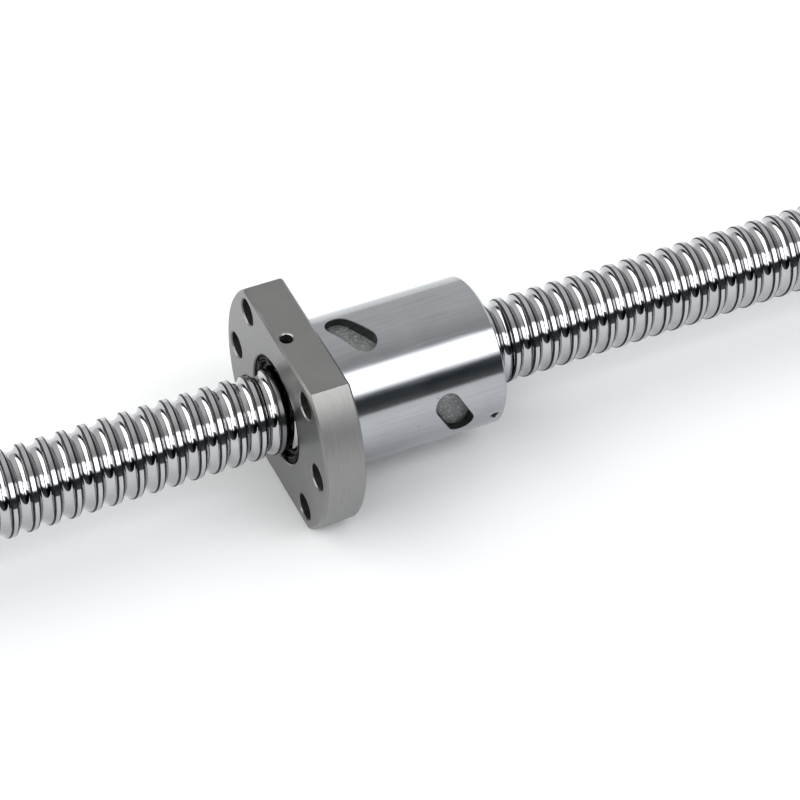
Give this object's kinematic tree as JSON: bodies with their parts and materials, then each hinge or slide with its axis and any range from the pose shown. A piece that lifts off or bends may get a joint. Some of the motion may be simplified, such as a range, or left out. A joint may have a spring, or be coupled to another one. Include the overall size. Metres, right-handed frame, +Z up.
{
  "type": "ball screw assembly",
  "caption": "Ground ball screw shaft with machined ends and a flanged ball nut: internal ball returns, wipers at both ends, flange with two flats.",
  "frame": {"origin": "on the screw axis, in the face of the flange that seats on the housing", "axes": "+X along the screw axis from the flange towards the nut barrel, +Z up, normal to the flat of the flange that carries the small hole"},
  "size_m": [0.345, 0.058, 0.044],
  "materials": {
    "screw_steel": "ground and polished",
    "nut_steel": "fine ground",
    "deflector_steel": "matt, cast",
    "ball_steel": "polished",
    "wiper_plastic": "moulded",
    "wiper_rubber": "moulded",
    "lock_screw_steel": "black oxide"
  },
  "bodies": {
    "nut": {"nut_body": "nut_steel", "return_deflector_1": "deflector_steel", "return_deflector_2": "deflector_steel", "return_deflector_3": "deflector_steel", "return_deflector_4": "deflector_steel", "ball_circuit_1": "ball_steel", "ball_circuit_2": "ball_steel", "ball_circuit_3": "ball_steel", "ball_circuit_4": "ball_steel", "wiper_carrier_front": "wiper_plastic", "wiper_carrier_rear": "wiper_plastic", "wiper_lock_screw_front": "lock_screw_steel", "wiper_lock_screw_rear": "lock_screw_steel"},
    "wiper_lips": {"wiper_lip_front": "wiper_rubber", "wiper_lip_rear": "wiper_rubber"},
    "screw": {"screw_shaft": "screw_steel"}
  },
  "joints": [
    {"name": "screw_turn", "type": "hinge", "parent": "nut", "child": "wiper_lips", "pos_m": [0, 0, 0], "axis": [1, 0, 0], "range_deg": [-6540, 7980]},
    {"name": "screw_travel", "type": "slide", "parent": "wiper_lips", "child": "screw", "axis": [1, 0, 0], "range_m": [-0.11, 0.09]}
  ],
  "couplings": [
    {"joint": "screw_turn", "follows": "screw_travel", "rad_per_m": -1256.6}
  ]
}
